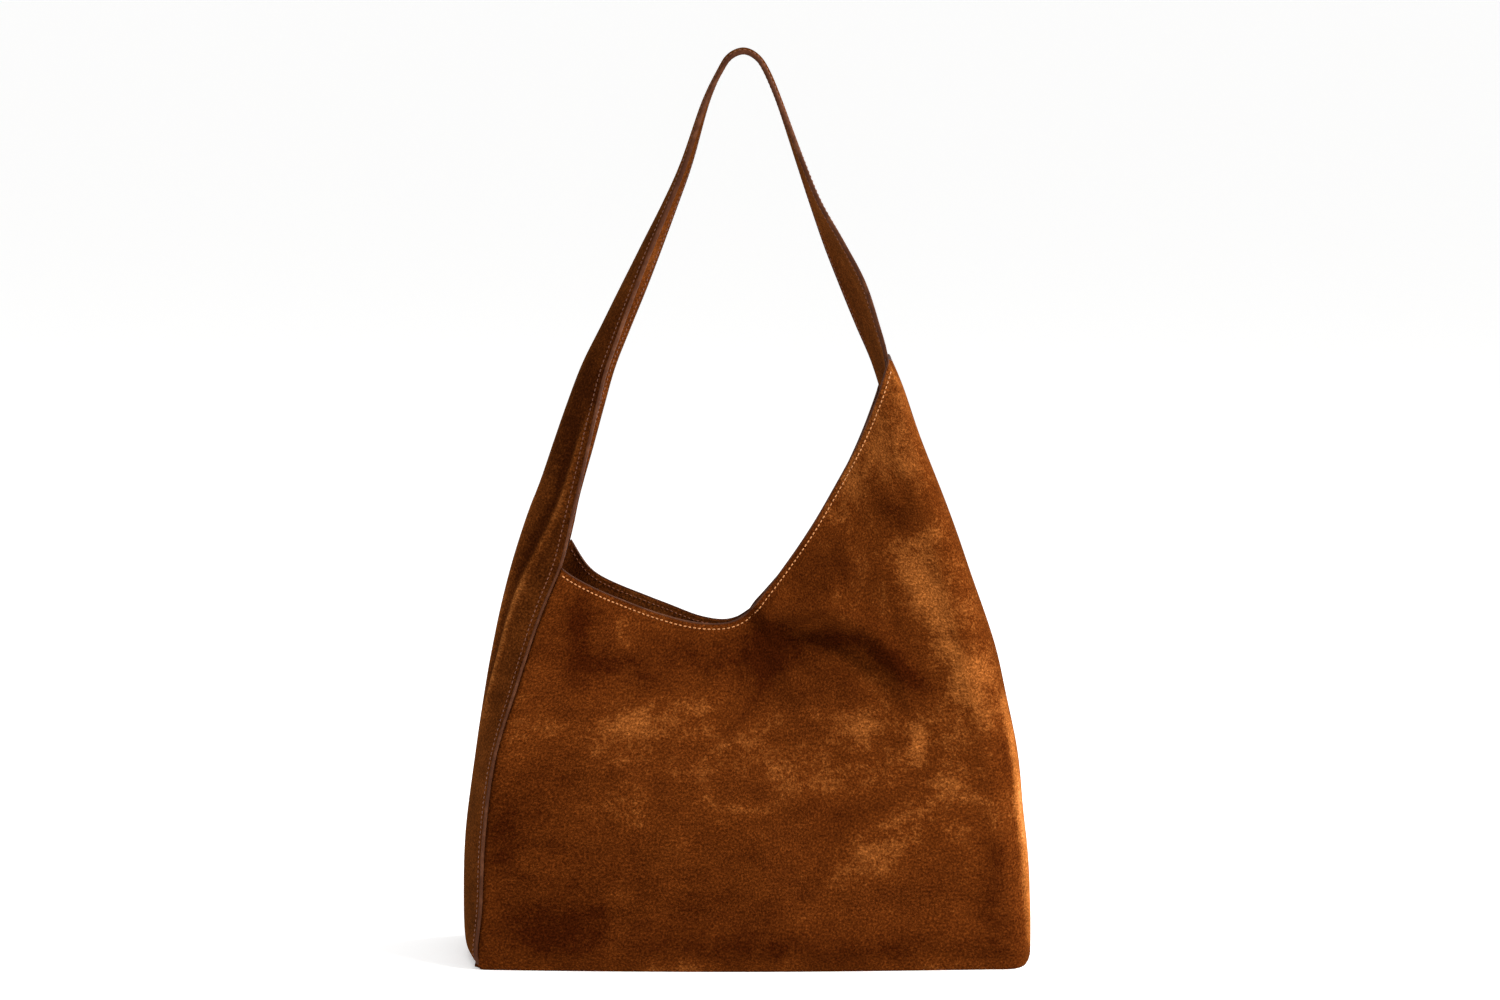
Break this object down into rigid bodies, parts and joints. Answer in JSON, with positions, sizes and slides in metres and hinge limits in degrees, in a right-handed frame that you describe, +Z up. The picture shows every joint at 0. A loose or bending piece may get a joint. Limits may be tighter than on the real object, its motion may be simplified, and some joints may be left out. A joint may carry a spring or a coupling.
{
  "type": "hobo bag",
  "caption": "Slouchy suede hobo bag with a curved open mouth, one side strip that tapers into the shoulder strap, a magnetic snap and a zipped inner pocket.",
  "frame": {"origin": "middle of the bag's footprint, on the floor under the base", "axes": "+Z up, the front faces -Y, +X to the right of someone facing the front"},
  "size_m": [0.4058, 0.1322, 0.645],
  "materials": {
    "suede": "napped suede, rust brown",
    "suede_inside": "napped suede, darker inner face",
    "lining": "plain woven cotton",
    "board": "grey-brown fibreboard",
    "core": "non-woven stiffener",
    "brass": "satin",
    "steel": "plain",
    "tape": "woven tape"
  },
  "bodies": {
    "bag": {"front_panel": "suede", "back_panel": "suede", "side_gusset": "suede", "base_panel": "suede", "front_facing": "suede_inside", "back_facing": "suede_inside", "gusset_facing": "suede_inside", "strap_root_left": "suede", "strap_root_right": "suede", "strap_tab": "suede", "lining_front": "lining", "lining_back": "lining", "lining_gusset": "lining", "base_lining": "lining", "pocket_front": "lining", "pocket_back": "lining", "base_board": "board", "snap_socket": "brass", "snap_stud": "brass", "snap_washer_front": "steel", "snap_washer_back": "steel", "zip_tape_upper": "tape", "zip_tape_lower": "tape", "zip_teeth_upper": "brass", "zip_teeth_lower": "brass", "zip_stops": "brass"},
    "strap": {"strap_outer": "suede", "strap_core": "core", "strap_backing": "suede_inside"},
    "zip_slider": {"zip_slider": "brass"},
    "zip_pull": {"zip_pull": "brass"}
  },
  "joints": [
    {"name": "strap_swing", "type": "hinge", "parent": "bag", "child": "strap", "pos_m": [-0.124, 0, 0.318], "axis": [0.9104, 0, 0.4138], "range_deg": [-90, 90], "deforming": ["strap_root_left", "strap_root_right"]},
    {"name": "zip_slide", "type": "slide", "parent": "bag", "child": "zip_slider", "axis": [-1, 0, 0], "range_m": [0, 0.1]},
    {"name": "pull_flip", "type": "hinge", "parent": "zip_slider", "child": "zip_pull", "pos_m": [0.05, 0.0005, 0.178], "axis": [0, 0, 1], "range_deg": [0, 170]}
  ]
}
